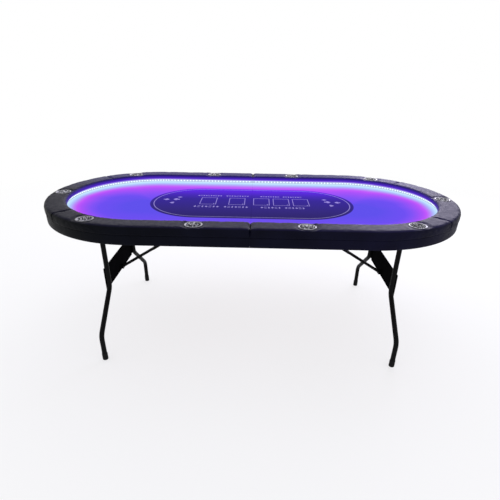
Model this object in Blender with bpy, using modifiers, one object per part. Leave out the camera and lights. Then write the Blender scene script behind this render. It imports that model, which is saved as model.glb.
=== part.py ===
"""Folding racetrack card table for ten players, with a padded rail, cup holders and edge lighting.

Two like halves meet at x = 0 and hinge there, below the boards. Each half carries a folding
wishbone leg frame with a two-link brace. The left half is modelled first and the right half is
its mirror image. Metres, +Z up, +X along the table, the front at -Y, the floor at z = 0.
"""

import math

import bmesh
import bpy
from mathutils import Matrix, Vector

# Driving dimensions.
LENGTH = 2.134
WIDTH = 1.067
HEIGHT = 0.762
RAIL_WIDTH = 0.105
SKIRT_BOTTOM = 0.676
CLOTH_TOP = 0.722
LEG_X = 0.753
LEG_NECK_Y = 0.240
LEG_FOOT_Y = 0.459
LEG_TUBE_R = 0.0127
PIVOT_Z = 0.6925
CUP_RIM_R = 0.041

# Gaps and plate thicknesses.
GAP = 0.0003
FOLD_GAP = 0.0002
SEAM_GAP = 0.0010
CLOTH_THICKNESS = 0.0035
BOARD_THICKNESS = 0.010
SKIRT_THICKNESS = 0.0065
APRON_THICKNESS = 0.011
SHEET = 0.002

# Sizes that follow from the driving dimensions.
END_RADIUS = WIDTH / 2
STRAIGHT = LENGTH / 2 - END_RADIUS
BOARD_TOP = CLOTH_TOP - CLOTH_THICKNESS - GAP
BOARD_BOTTOM = BOARD_TOP - BOARD_THICKNESS
UNDERSIDE = BOARD_BOTTOM - GAP
RAIL_BASE = BOARD_TOP + GAP
APRON_BOTTOM = SKIRT_BOTTOM + 0.0010
SEAM_ANGLE = 45.0
ARC_STEP = 4.5

# Rail section.
RAIL_ROUND = 0.012
NOSE_HEIGHT = 0.0265
RECESS_DEPTH = 0.016
RAIL_HEM = 0.003
NOSE_LIP = 0.004
INNER_DROP = 0.001
LED_THICKNESS = 0.0022
LED_LIFT = 0.001
LED_HEIGHT = 0.009

# Cup holders.
CUP_INSET = 0.052
CUP_BODY_R = 0.0340
CUP_WALL = 0.0012
CUP_RIM_TOP = HEIGHT - 0.0005
CUP_BOTTOM = RAIL_BASE + 0.0005
CUP_SIDE_X = 0.246
CUP_CORNER_ANGLE = 25.0
CUP_STEPS = 20
CUP_RIM_THICKNESS = 0.0020
CUP_RIM_EDGE = 0.0010
CUP_RIM_CLEARANCE = 0.0006
CUP_BODY_CLEARANCE = 0.0008
CUP_BORE_TOP = HEIGHT + 0.010
CUP_BORE_BOTTOM = RAIL_BASE - 0.005

# Centre fold.
FOLD_Z = 0.6715
KNUCKLE_R = 0.0042
HINGE_PIN_R = 0.0020
HINGE_Y = 0.300
HINGE_WIDTH = 0.080
LEAF_REACH = 0.036
BATTEN_WIDTH = 0.043
BATTEN_BOTTOM = SKIRT_BOTTOM + 0.0006
KNUCKLES = 5
LEAF_ROOT = 0.0012
KNUCKLE_GAP = 0.0003
PIN_GAP = 0.00015
NOTCH_REACH = 0.006
NOTCH_RISE = 0.001
BORE_OVERRUN = 0.002

# Leg frame.
PIVOT_TUBE_R = 0.011
PIVOT_HALF_LENGTH = 0.300
BRACKET_Y = 0.277
NECK_LOW_Z = 0.325
SPLAY_LOW_Z = 0.145
BEND_RADIUS = 0.055
FOOT_R = 0.0145
FOOT_HEIGHT = 0.040
PLATE_Z = (0.306, 0.426)
PLATE_HALF_WIDTH = 0.253
LIP_DEPTH = 0.0045
LIP_SETBACK = 0.004
LEG_TOP_DROP = 0.002
LEG_END_Z = 0.006
SADDLE_HALF_LENGTH = 0.030
FOOT_FLOOR = 0.0055
FOOT_TOP_EDGE = 0.001
FOOT_TOP_TAPER = 0.0006
FOOT_CHAMFER = 0.002

# Pivot brackets and clevises.
STRAP_THICKNESS = 0.0024
STRAP_HALF_WIDTH = 0.014
STRAP_HALF_LENGTH = 0.034
CLEVIS_HALF_LENGTH = 0.020
CLEVIS_HALF_WIDTH = 0.018
EAR_CLEARANCE = 0.0015
EAR_HALF_LENGTH = 0.009
EAR_HALF_HEIGHT = 0.011
PIN_PROUD = 0.002

# Brace: two links that lie straight when the legs are open and fold flat with them.
BRACE_DROP = 0.3665
BRACE_REACH = 0.600
BRACE_SPAN = math.hypot(BRACE_DROP, BRACE_REACH)
BRACE_ANGLE = math.atan2(BRACE_DROP, BRACE_REACH)
LOWER_LINK = (BRACE_SPAN - BRACE_REACH + BRACE_DROP) / 2
UPPER_LINK = BRACE_SPAN - LOWER_LINK
LINK_HALF_HEIGHT = 0.007
LINK_HALF_WIDTH = 0.006
BRACE_PIN_R = 0.003
FORK_Y = 0.100
FORK_NECK_Y = 0.0095
FORK_STRAP = 0.003
FORK_TIP = 0.008
FORK_MOUTH = 0.030
FORK_NECK = 0.035
SPREADER_AT = 0.150
SPREADER_R = 0.004
RIVET_R = 0.005
RIVET_HEIGHT = 0.003
RIVET_SINK = 0.0005
EYE_OVERRUN = 0.010

LEG_PIVOT = Vector((-LEG_X, 0, PIVOT_Z))
FORK_PIVOT = Vector((-LEG_X + BRACE_REACH, 0, PIVOT_Z))
LINK_PIVOT = Vector((-LEG_X, 0, PIVOT_Z - BRACE_DROP))
FOLD_PIVOT = Vector((0, 0, FOLD_Z))

# Lighting controller, in the free corner of the left leg bay.
BOX_CENTRE = (-0.560, 0.400)
BOX_SIZE = (0.090, 0.050, 0.018)
BUTTON_R = 0.005
BUTTON_PROUD = 0.0025
BUTTON_TRAVEL = 0.0015
BUTTON_SEAT = 0.0035
BUTTON_GAP = 0.0004
POCKET_FLOOR = 0.004
INLET_R = 0.0045
INLET_DEPTH = 0.010

# name: (colour, roughness, metallic)
MATERIALS = {
    "rail_vinyl": ((0.045, 0.045, 0.055), 0.45, 0.0),
    "speed_cloth": ((0.13, 0.08, 0.85), 0.90, 0.0),
    "board_wood": ((0.45, 0.33, 0.20), 0.80, 0.0),
    "black_steel": ((0.012, 0.012, 0.013), 0.40, 0.6),
    "cup_steel": ((0.72, 0.72, 0.74), 0.25, 1.0),
    "led_strip": ((0.70, 0.90, 1.00), 0.30, 0.0),
    "foot_rubber": ((0.015, 0.015, 0.015), 0.70, 0.0),
    "hinge_steel": ((0.55, 0.55, 0.57), 0.35, 1.0),
    "box_plastic": ((0.020, 0.020, 0.022), 0.50, 0.0),
    "button_plastic": ((0.85, 0.85, 0.85), 0.40, 0.0),
}


def clear_scene():
    for obj in list(bpy.data.objects):
        bpy.data.objects.remove(obj, do_unlink=True)


def new_collection(name):
    collection = bpy.data.collections.new(name)
    bpy.context.scene.collection.children.link(collection)
    return collection


def make_materials():
    made = {}
    for name, (colour, roughness, metallic) in MATERIALS.items():
        material = bpy.data.materials.new(name)
        material.use_nodes = True
        shader = material.node_tree.nodes["Principled BSDF"]
        shader.inputs["Base Color"].default_value = (*colour, 1.0)
        shader.inputs["Roughness"].default_value = roughness
        shader.inputs["Metallic"].default_value = metallic
        made[name] = material
    return made


clear_scene()
TABLE = new_collection("card_table")
CUTTERS = new_collection("cutters")
PAINT = make_materials()


# ---------------------------------------------------------------- helpers


def add_object(name, data, material, collection=None):
    obj = bpy.data.objects.new(name, data)
    (collection or TABLE).objects.link(obj)
    if material:
        data.materials.append(PAINT[material])
    return obj


def mesh_object(name, bm, material, collection=None):
    mesh = bpy.data.meshes.new(name)
    bmesh.ops.recalc_face_normals(bm, faces=bm.faces)
    bm.to_mesh(mesh)
    bm.free()
    return add_object(name, mesh, material, collection)


def box(name, low, high, material):
    """A box between two corners, its origin at its centre."""
    low, high = Vector(low), Vector(high)
    size = high - low
    bm = bmesh.new()
    bmesh.ops.create_cube(bm, size=1.0, matrix=Matrix.Diagonal((*size, 1.0)))
    obj = mesh_object(name, bm, material)
    obj.location = (low + high) / 2
    return obj


def rod(name, start, end, radius, material, sides=16):
    """A round bar from start to end, with flat ends."""
    start, end = Vector(start), Vector(end)
    bm = bmesh.new()
    bmesh.ops.create_cone(
        bm,
        cap_ends=True,
        segments=sides,
        radius1=radius,
        radius2=radius,
        depth=(end - start).length,
    )
    obj = mesh_object(name, bm, material)
    obj.location = (start + end) / 2
    obj.rotation_mode = "QUATERNION"
    obj.rotation_quaternion = (end - start).to_track_quat("Z", "Y")
    return obj


def hidden(obj):
    """Makes obj a cutter or a joined-in helper, which isn't a part of its own."""
    TABLE.objects.unlink(obj)
    CUTTERS.objects.link(obj)
    obj.hide_render = True
    obj.display_type = "WIRE"
    return obj


def boolean(obj, helpers, operation):
    for helper in helpers:
        modifier = obj.modifiers.new(helper.name, "BOOLEAN")
        modifier.operation = operation
        modifier.solver = "EXACT"
        modifier.object = hidden(helper)
    return obj


def joined(obj, helpers):
    return boolean(obj, helpers, "UNION")


def cut(obj, helpers):
    return boolean(obj, helpers, "DIFFERENCE")


def poly_curve(name, points, dimensions, cyclic=False):
    curve = bpy.data.curves.new(name, "CURVE")
    curve.dimensions = dimensions
    spline = curve.splines.new("POLY")
    spline.points.add(len(points) - 1)
    for point, place in zip(spline.points, points):
        point.co = (*place, *([0.0] * (3 - len(place))), 1.0)
    spline.use_cyclic_u = cyclic
    return curve


def as_mesh(obj):
    """Replaces a curve object by a mesh object of the same name, its caps welded to its sides."""
    bpy.context.view_layer.update()
    graph = bpy.context.evaluated_depsgraph_get()
    mesh = bpy.data.meshes.new_from_object(obj.evaluated_get(graph))
    bm = bmesh.new()
    bm.from_mesh(mesh)
    bmesh.ops.remove_doubles(bm, verts=bm.verts, dist=0.00001)
    bmesh.ops.recalc_face_normals(bm, faces=bm.faces)
    bm.to_mesh(mesh)
    bm.free()
    name, matrix, curve = obj.name, obj.matrix_world.copy(), obj.data
    bpy.data.objects.remove(obj)
    bpy.data.curves.remove(curve)
    made = add_object(name, mesh, None)
    made.matrix_world = matrix
    return made


def plate(name, outline, low, high, material):
    """A flat plate of the given outline between two heights."""
    curve = poly_curve(name, outline, "2D", cyclic=True)
    curve.fill_mode = "BOTH"
    curve.extrude = (high - low) / 2
    obj = add_object(name, curve, material)
    obj.location.z = (low + high) / 2
    return obj


def swept(name, path, section, material):
    """A section of (inset, height) points carried round the table's edge, square to it all the way."""
    bm = bmesh.new()
    rings = []
    for turn, shift in path:
        rings.append([bm.verts.new((*edge_point(turn, inset, shift), z)) for inset, z in section])
    for ring, following in zip(rings, rings[1:]):
        for i in range(len(section)):
            bm.faces.new((ring[i - 1], ring[i], following[i], following[i - 1]))
    bm.faces.new(rings[0])
    bm.faces.new(reversed(rings[-1]))
    return mesh_object(name, bm, material)


def tube(name, points, radius, material, resolution=4):
    curve = poly_curve(name, points, "3D")
    curve.bevel_depth = radius
    curve.bevel_resolution = resolution
    curve.use_fill_caps = True
    return add_object(name, curve, material)


def ribbon(name, points, width_axis, half_width, thickness, material):
    """A strip of sheet that follows points and is half_width wide each way along width_axis."""
    across = Vector(width_axis) * half_width
    bm = bmesh.new()
    near = [bm.verts.new(Vector(p) - across) for p in points]
    far = [bm.verts.new(Vector(p) + across) for p in points]
    for i in range(len(points) - 1):
        bm.faces.new((near[i], near[i + 1], far[i + 1], far[i]))
    obj = mesh_object(name, bm, material)
    solidify = obj.modifiers.new("thickness", "SOLIDIFY")
    solidify.thickness = thickness
    solidify.offset = 0.0
    solidify.use_even_offset = True
    return obj


def turned(name, section, place, steps, material):
    """A solid of revolution about Z from (radius, height) points that run down its outer side."""
    bm = bmesh.new()
    verts = [bm.verts.new((r, 0, z)) for r, z in section]
    for a, b in zip(verts, verts[1:]):
        bm.edges.new((a, b))
    obj = mesh_object(name, bm, material)
    obj.location = place
    screw = obj.modifiers.new("turn", "SCREW")
    screw.steps = screw.render_steps = steps
    screw.use_merge_vertices = True
    screw.merge_threshold = 0.00005
    return obj


def arc_points(centre, radius, start, end, steps):
    """Points on a circle in a plane of two axes, angles in degrees."""
    turn = [math.radians(start + (end - start) * i / steps) for i in range(steps + 1)]
    return [(centre[0] + radius * math.cos(a), centre[1] + radius * math.sin(a)) for a in turn]


def smooth(obj, angle=30.0):
    if obj.type == "MESH":
        obj.data.shade_smooth()
        obj.data.set_sharp_from_angle(angle=math.radians(angle))
    return obj


def pivot(name, place, parent=None):
    """An empty on a joint's axis, which the pieces of that moving body hang from."""
    empty = bpy.data.objects.new(name, None)
    TABLE.objects.link(empty)
    empty.location = place
    if parent:
        bpy.context.view_layer.update()
        empty.parent = parent
        empty.matrix_parent_inverse = parent.matrix_world.inverted()
    return empty


def hang(objects, parent):
    bpy.context.view_layer.update()
    for obj in objects:
        obj.parent = parent
        obj.matrix_parent_inverse = parent.matrix_world.inverted()


def mirrored(obj, name, axis):
    """A copy of obj as evaluated, mirrored in the plane across axis, as its own mesh."""
    bpy.context.view_layer.update()
    graph = bpy.context.evaluated_depsgraph_get()
    mesh = bpy.data.meshes.new_from_object(obj.evaluated_get(graph))
    mesh.name = name
    mesh.transform(Matrix.Scale(-1, 4, axis) @ obj.matrix_world)
    mesh.flip_normals()
    copy = bpy.data.objects.new(name, mesh)
    TABLE.objects.link(copy)
    return copy


# ---------------------------------------------------------------- table top


def edge_point(turn, inset=0.0, shift=0.0):
    """A point inside the left half's edge.

    turn runs in degrees round the end: 0 at the front, 90 at the far left, 180 at the rear. shift
    carries the point along a straight side towards the fold.
    """
    radius = END_RADIUS - inset
    a = math.radians(turn)
    return (-STRAIGHT - radius * math.sin(a) + shift, -radius * math.cos(a))


def edge_path(start, end, from_fold=False, to_fold=False):
    """(turn, shift) stations round the left half's edge, with the straight sides where asked."""
    steps = max(1, round((end - start) / ARC_STEP))
    path = [(start + (end - start) * i / steps, 0.0) for i in range(steps + 1)]
    if from_fold:
        path.insert(0, (0.0, STRAIGHT - FOLD_GAP))
    if to_fold:
        path.append((180.0, STRAIGHT - FOLD_GAP))
    return path


def half_path():
    return edge_path(0, 180, from_fold=True, to_fold=True)


def half_outline(inset):
    return [edge_point(turn, inset, shift) for turn, shift in half_path()]


def rail_section():
    """The upholstered rail: a skirt down the outside, a cushion on top and a lighting recess."""
    nose_low = HEIGHT - NOSE_HEIGHT
    wall = RAIL_WIDTH - RECESS_DEPTH
    outer = arc_points((RAIL_ROUND, HEIGHT - RAIL_ROUND), RAIL_ROUND, 180, 90, 4)
    inner = arc_points((RAIL_WIDTH - RAIL_ROUND, HEIGHT - RAIL_ROUND - INNER_DROP), RAIL_ROUND, 90, 0, 4)
    return [
        (0.0, SKIRT_BOTTOM + RAIL_HEM),
        *outer,
        *inner,
        (RAIL_WIDTH, nose_low + NOSE_LIP),
        (RAIL_WIDTH - NOSE_LIP, nose_low),
        (wall, nose_low),
        (wall, RAIL_BASE),
        (SKIRT_THICKNESS, RAIL_BASE),
        (SKIRT_THICKNESS, SKIRT_BOTTOM),
        (0.003, SKIRT_BOTTOM),
    ]


def cup_cutter(name, x, y):
    """The stepped hole that a cup holder drops into: a deep bore with a shallow seat for the rim."""
    seat = CUP_RIM_TOP - CUP_RIM_THICKNESS - GAP
    section = [
        (0.0, CUP_BORE_TOP),
        (CUP_RIM_R + CUP_RIM_CLEARANCE, CUP_BORE_TOP),
        (CUP_RIM_R + CUP_RIM_CLEARANCE, seat),
        (CUP_BODY_R + CUP_BODY_CLEARANCE, seat),
        (CUP_BODY_R + CUP_BODY_CLEARANCE, CUP_BORE_BOTTOM),
        (0.0, CUP_BORE_BOTTOM),
    ]
    return turned(name, section, (x, y, 0), CUP_STEPS, None)


def cup_holder(name, x, y):
    """A pressed steel cup with a rolled rim."""
    inside = CUP_BODY_R - CUP_WALL
    rim_low = CUP_RIM_TOP - CUP_RIM_THICKNESS
    section = [
        (0.0, CUP_BOTTOM + CUP_WALL),
        (inside, CUP_BOTTOM + CUP_WALL),
        (inside, CUP_RIM_TOP),
        (CUP_RIM_R - CUP_RIM_EDGE, CUP_RIM_TOP),
        (CUP_RIM_R, CUP_RIM_TOP - CUP_RIM_EDGE),
        (CUP_RIM_R, rim_low),
        (CUP_BODY_R, rim_low),
        (CUP_BODY_R, CUP_BOTTOM),
        (0.0, CUP_BOTTOM),
    ]
    return smooth(turned(name, section, (x, y, 0), CUP_STEPS, "cup_steel"))


def cup_places():
    """Where the left half's cup holders stand, from the front fold round to the rear fold."""
    side_y = END_RADIUS - CUP_INSET
    return {
        "front_inner": (-CUP_SIDE_X, -side_y),
        "front_outer": edge_point(CUP_CORNER_ANGLE, CUP_INSET),
        "end": edge_point(90, CUP_INSET),
        "rear_outer": edge_point(180 - CUP_CORNER_ANGLE, CUP_INSET),
        "rear_inner": (-CUP_SIDE_X, side_y),
    }


def build_rails():
    """The three upholstered rail sections, bored for their cup holders."""
    half_gap = math.degrees(SEAM_GAP / 2 / END_RADIUS)
    first, last = SEAM_ANGLE, 180 - SEAM_ANGLE
    paths = {
        "front": edge_path(0, first - half_gap, from_fold=True),
        "end": edge_path(first + half_gap, last - half_gap),
        "rear": edge_path(last + half_gap, 180, to_fold=True),
    }
    cups = cup_places()
    rails = []
    for side, path in paths.items():
        rail = swept(f"left_rail_{side}", path, rail_section(), "rail_vinyl")
        bores = [cup_cutter(f"{key}_bore", *place) for key, place in cups.items() if side in key]
        rails.append(smooth(cut(rail, bores)))
    return rails


def build_top():
    """Board, cloth, apron, fold batten, lighting strip and cup holders of the left half."""
    board = plate(
        "left_board",
        half_outline(SKIRT_THICKNESS + GAP),
        BOARD_BOTTOM,
        BOARD_TOP,
        "board_wood",
    )
    cloth_inset = RAIL_WIDTH - RECESS_DEPTH + GAP
    cloth = plate(
        "left_playing_cloth",
        half_outline(cloth_inset),
        CLOTH_TOP - CLOTH_THICKNESS,
        CLOTH_TOP,
        "speed_cloth",
    )
    inner = SKIRT_THICKNESS + GAP + APRON_THICKNESS
    apron = swept(
        "left_apron",
        half_path(),
        [
            (SKIRT_THICKNESS + GAP, APRON_BOTTOM),
            (SKIRT_THICKNESS + GAP, UNDERSIDE),
            (inner, UNDERSIDE),
            (inner, APRON_BOTTOM),
        ],
        "board_wood",
    )
    batten_y = END_RADIUS - inner - GAP
    batten = box(
        "left_fold_batten",
        (-FOLD_GAP - BATTEN_WIDTH, -batten_y, BATTEN_BOTTOM),
        (-FOLD_GAP, batten_y, UNDERSIDE),
        "board_wood",
    )
    led_outer = cloth_inset
    led_low = CLOTH_TOP + LED_LIFT
    led = swept(
        "left_led_strip",
        half_path(),
        [
            (led_outer, led_low),
            (led_outer, led_low + LED_HEIGHT),
            (led_outer + LED_THICKNESS, led_low + LED_HEIGHT),
            (led_outer + LED_THICKNESS, led_low),
        ],
        "led_strip",
    )
    cups = [cup_holder(f"left_cup_{key}", *place) for key, place in cup_places().items()]
    return [board, cloth, apron, batten, led, *cups]


def pivot_bracket(name, y):
    """A saddle strap that holds the pivot tube up against the board."""
    mid_r = PIVOT_TUBE_R + GAP + STRAP_THICKNESS / 2
    flange_z = UNDERSIDE - STRAP_THICKNESS / 2
    bowl = [(x, 0.0, z) for x, z in arc_points((0.0, 0.0), mid_r, 180, 360, 10)]
    rise = flange_z - PIVOT_Z
    left_flange = [(-STRAP_HALF_LENGTH, 0.0, rise), (-mid_r, 0.0, rise)]
    right_flange = [(mid_r, 0.0, rise), (STRAP_HALF_LENGTH, 0.0, rise)]
    points = [*left_flange, *bowl, *right_flange]
    strap = ribbon(name, points, (0, 1, 0), STRAP_HALF_WIDTH, STRAP_THICKNESS, "black_steel")
    strap.location = (-LEG_X, y, PIVOT_Z)
    return strap


def fork_bracket(name, y):
    """A clevis under the board with the pin that one arm of the brace fork turns on."""
    ear_gap = FORK_STRAP / 2 + EAR_CLEARANCE
    x, z = FORK_PIVOT.x, FORK_PIVOT.z
    base = box(
        name,
        (x - CLEVIS_HALF_LENGTH, y - CLEVIS_HALF_WIDTH, UNDERSIDE - SHEET),
        (x + CLEVIS_HALF_LENGTH, y + CLEVIS_HALF_WIDTH, UNDERSIDE),
        "black_steel",
    )
    parts = []
    for sign, tag in ((-1, "a"), (1, "b")):
        inside, outside = sorted((sign * ear_gap, sign * (ear_gap + SHEET)))
        low = (x - EAR_HALF_LENGTH, y + inside, z - EAR_HALF_LENGTH)
        high = (x + EAR_HALF_LENGTH, y + outside, UNDERSIDE - SHEET / 2)
        parts.append(box(f"{name}_ear_{tag}", low, high, None))
    reach = ear_gap + SHEET + PIN_PROUD
    parts.append(rod(f"{name}_pin", (x, y - reach, z), (x, y + reach, z), BRACE_PIN_R, None))
    return joined(base, parts)


def build_brackets():
    return [
        pivot_bracket("left_pivot_bracket_front", -BRACKET_Y),
        pivot_bracket("left_pivot_bracket_rear", BRACKET_Y),
        fork_bracket("left_brace_bracket_front", -FORK_Y),
        fork_bracket("left_brace_bracket_rear", FORK_Y),
    ]


# ---------------------------------------------------------------- leg frame


def filleted(points, radius, steps=4):
    """A polyline in a plane with its inner corners rounded to a radius."""
    rounded = [points[0]]
    for before, corner, after in zip(points, points[1:], points[2:]):
        b, c, a = Vector(before), Vector(corner), Vector(after)
        to_b, to_a = (b - c).normalized(), (a - c).normalized()
        half = to_b.angle(to_a) / 2
        reach = radius / math.tan(half)
        centre = c + (to_b + to_a).normalized() * (radius / math.sin(half))
        start, end = c + to_b * reach - centre, c + to_a * reach - centre
        for i in range(steps + 1):
            rounded.append(tuple(centre + start.lerp(end, i / steps).normalized() * radius))
    return [*rounded, points[-1]]


def leg_tube(name, side):
    """One bent leg: straight at the neck, splayed out below the cross plate, upright at the foot."""
    corners = [
        (side * LEG_NECK_Y, PIVOT_Z - LEG_TOP_DROP),
        (side * LEG_NECK_Y, NECK_LOW_Z),
        (side * LEG_FOOT_Y, SPLAY_LOW_Z),
        (side * LEG_FOOT_Y, LEG_END_Z),
    ]
    path = [(-LEG_X, y, z) for y, z in filleted(corners, BEND_RADIUS)]
    leg = as_mesh(tube(name, path, LEG_TUBE_R, "black_steel"))
    saddle = rod(
        name + "_saddle",
        (-LEG_X, side * (LEG_NECK_Y - SADDLE_HALF_LENGTH), PIVOT_Z),
        (-LEG_X, side * (LEG_NECK_Y + SADDLE_HALF_LENGTH), PIVOT_Z),
        PIVOT_TUBE_R + GAP,
        None,
        sides=24,
    )
    return smooth(cut(leg, [saddle]))


def foot_cap(name, side):
    """A moulded cap pushed over the end of a leg."""
    bore = LEG_TUBE_R + GAP
    section = [
        (0.0, FOOT_FLOOR),
        (bore, FOOT_FLOOR),
        (bore, FOOT_HEIGHT),
        (FOOT_R - FOOT_TOP_TAPER, FOOT_HEIGHT),
        (FOOT_R, FOOT_HEIGHT - FOOT_TOP_EDGE),
        (FOOT_R, FOOT_CHAMFER),
        (FOOT_R - FOOT_CHAMFER, 0.0),
        (0.0, 0.0),
    ]
    return smooth(turned(name, section, (-LEG_X, side * LEG_FOOT_Y, 0), 20, "foot_rubber"))


def cross_plate():
    """The wide sheet plate across both necks, lipped for stiffness, with the brace clevis on it."""
    low, high = PLATE_Z
    outer = -LEG_X - LEG_TUBE_R - GAP - SHEET
    inner = outer + SHEET
    lip_y = LEG_NECK_Y - LEG_TUBE_R - LIP_SETBACK
    body = box(
        "left_cross_plate",
        (outer, -PLATE_HALF_WIDTH, low),
        (inner, PLATE_HALF_WIDTH, high),
        "black_steel",
    )
    parts = []
    for tag, z in (("low", low), ("high", high - SHEET)):
        lip_low, lip_high = (outer + SHEET / 2, -lip_y, z), (inner + LIP_DEPTH, lip_y, z + SHEET)
        parts.append(box(f"lip_{tag}", lip_low, lip_high, None))
    ear_in = LINK_HALF_WIDTH + EAR_CLEARANCE
    for sign, tag in ((-1, "a"), (1, "b")):
        y0, y1 = sorted((sign * ear_in, sign * (ear_in + SHEET)))
        ear_low = (outer + SHEET / 2, y0, LINK_PIVOT.z - EAR_HALF_HEIGHT)
        ear_high = (LINK_PIVOT.x + EAR_HALF_LENGTH, y1, LINK_PIVOT.z + EAR_HALF_HEIGHT)
        parts.append(box(f"clevis_ear_{tag}", ear_low, ear_high, None))
    reach = ear_in + SHEET + PIN_PROUD
    pin_ends = [LINK_PIVOT + Vector((0, sign * reach, 0)) for sign in (-1, 1)]
    parts.append(rod("clevis_pin", *pin_ends, BRACE_PIN_R, None))
    return joined(body, parts)


def build_legs():
    pivot_tube = smooth(
        rod(
            "left_pivot_tube",
            (-LEG_X, -PIVOT_HALF_LENGTH, PIVOT_Z),
            (-LEG_X, PIVOT_HALF_LENGTH, PIVOT_Z),
            PIVOT_TUBE_R,
            "black_steel",
            sides=20,
        )
    )
    return [
        pivot_tube,
        leg_tube("left_leg_front", -1),
        leg_tube("left_leg_rear", 1),
        cross_plate(),
        foot_cap("left_foot_front", -1),
        foot_cap("left_foot_rear", 1),
    ]


# ---------------------------------------------------------------- brace


def tilt_to_brace(obj, place, heading):
    """Puts a link built along its own X at place, turned in the XZ plane to heading (radians)."""
    obj.location = place
    obj.rotation_euler = (0, -heading, 0)


def lower_link():
    """The short link from the cross plate to the elbow: a flattened bar with an eye at the plate."""
    ends = [
        *arc_points((0.0, 0.0), LINK_HALF_HEIGHT, 90, 270, 8),
        *arc_points((LOWER_LINK, 0.0), LINK_HALF_HEIGHT, -90, 90, 8),
    ]
    curve = poly_curve("left_brace_lower", ends, "2D", cyclic=True)
    curve.fill_mode = "BOTH"
    curve.extrude = LINK_HALF_WIDTH
    flat = as_mesh(add_object("left_brace_lower", curve, "black_steel"))
    flat.data.transform(Matrix.Rotation(math.radians(90), 4, "X"))
    tilt_to_brace(flat, LINK_PIVOT, BRACE_ANGLE)
    reach = Vector((0, LINK_HALF_WIDTH + BORE_OVERRUN, 0))
    eye = rod("lower_eye", LINK_PIVOT - reach, LINK_PIVOT + reach, BRACE_PIN_R + GAP, None)
    return cut(flat, [eye])


def upper_fork():
    """The long forked link from the elbow to its two clevises under the board."""
    heading = math.pi + BRACE_ANGLE
    arms = []
    for sign, tag in ((-1, "front"), (1, "rear")):
        points = [
            (-FORK_TIP, sign * FORK_Y, 0),
            (FORK_MOUTH, sign * FORK_Y, 0),
            (UPPER_LINK - FORK_NECK, sign * FORK_NECK_Y, 0),
            (UPPER_LINK + FORK_TIP, sign * FORK_NECK_Y, 0),
        ]
        arm = ribbon(f"fork_arm_{tag}", points, (0, 0, 1), LINK_HALF_HEIGHT, FORK_STRAP, "black_steel")
        tilt_to_brace(arm, FORK_PIVOT, heading)
        arms.append(arm)
    fork, other = arms
    fork.name = "left_brace_upper"
    bpy.context.view_layer.update()
    placed = fork.matrix_world.copy()

    def at(s, y):
        return placed @ Vector((s, y, 0.0))

    slope = (FORK_Y - FORK_NECK_Y) / (UPPER_LINK - FORK_MOUTH - FORK_NECK)
    spreader_y = FORK_Y - slope * (SPREADER_AT - FORK_MOUTH)
    spreader = rod("spreader", at(SPREADER_AT, -spreader_y), at(SPREADER_AT, spreader_y), SPREADER_R, None)
    rivet_in = FORK_NECK_Y + FORK_STRAP / 2 - RIVET_SINK
    rivets = []
    for sign, tag in ((-1, "front"), (1, "rear")):
        ends = (at(UPPER_LINK, sign * rivet_in), at(UPPER_LINK, sign * (rivet_in + RIVET_HEIGHT)))
        rivets.append(rod(f"rivet_{tag}", *ends, RIVET_R, None))
    joined(fork, [other, spreader, *rivets])
    eye_ends = [at(0, sign * (FORK_Y + EYE_OVERRUN)) for sign in (-1, 1)]
    eye = rod("fork_eyes", *eye_ends, BRACE_PIN_R + GAP, None)
    return cut(fork, [eye])


# ---------------------------------------------------------------- centre hinges


def hinge_leaf(name, side, y, knuckles):
    """One leaf of a butt hinge under a batten. side is -1 for the left leaf and 1 for the right."""
    leaf_top = BATTEN_BOTTOM - GAP
    x0, x1 = sorted((side * LEAF_ROOT, side * LEAF_REACH))
    half = HINGE_WIDTH / 2
    leaf = box(name, (x0, y - half, leaf_top - SHEET), (x1, y + half, leaf_top), "hinge_steel")
    pitch = HINGE_WIDTH / KNUCKLES
    barrels = []
    for k in knuckles:
        start = y - half + k * pitch + (KNUCKLE_GAP if k else 0)
        end = y - half + (k + 1) * pitch - (KNUCKLE_GAP if k < KNUCKLES - 1 else 0)
        barrels.append(rod(f"{name}_knuckle_{k}", (0, start, FOLD_Z), (0, end, FOLD_Z), KNUCKLE_R, None))
    joined(leaf, barrels)
    notches = []
    for k in sorted(set(range(KNUCKLES)) - set(knuckles)):
        low = (-NOTCH_REACH, y - half + k * pitch - KNUCKLE_GAP, FOLD_Z - NOTCH_REACH)
        high = (NOTCH_REACH, y - half + (k + 1) * pitch + KNUCKLE_GAP, leaf_top + NOTCH_RISE)
        notches.append(box(f"{name}_notch_{k}", low, high, None))
    bore = rod(
        f"{name}_bore",
        (0, y - half - BORE_OVERRUN, FOLD_Z),
        (0, y + half + BORE_OVERRUN, FOLD_Z),
        HINGE_PIN_R + PIN_GAP,
        None,
    )
    return cut(leaf, [*notches, bore])


def build_hinges():
    """Two butt hinges: the left leaves and pins stay, the right leaves go with the right half."""
    staying, turning = [], []
    for tag, y in (("front", -HINGE_Y), ("rear", HINGE_Y)):
        half = HINGE_WIDTH / 2
        staying.append(hinge_leaf(f"hinge_{tag}_left_leaf", -1, y, (0, 2, 4)))
        turning.append(hinge_leaf(f"hinge_{tag}_right_leaf", 1, y, (1, 3)))
        pin_ends = ((0, y - half, FOLD_Z), (0, y + half, FOLD_Z))
        staying.append(rod(f"hinge_{tag}_pin", *pin_ends, HINGE_PIN_R, "hinge_steel"))
    return staying, turning


# ---------------------------------------------------------------- lighting controller


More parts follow.
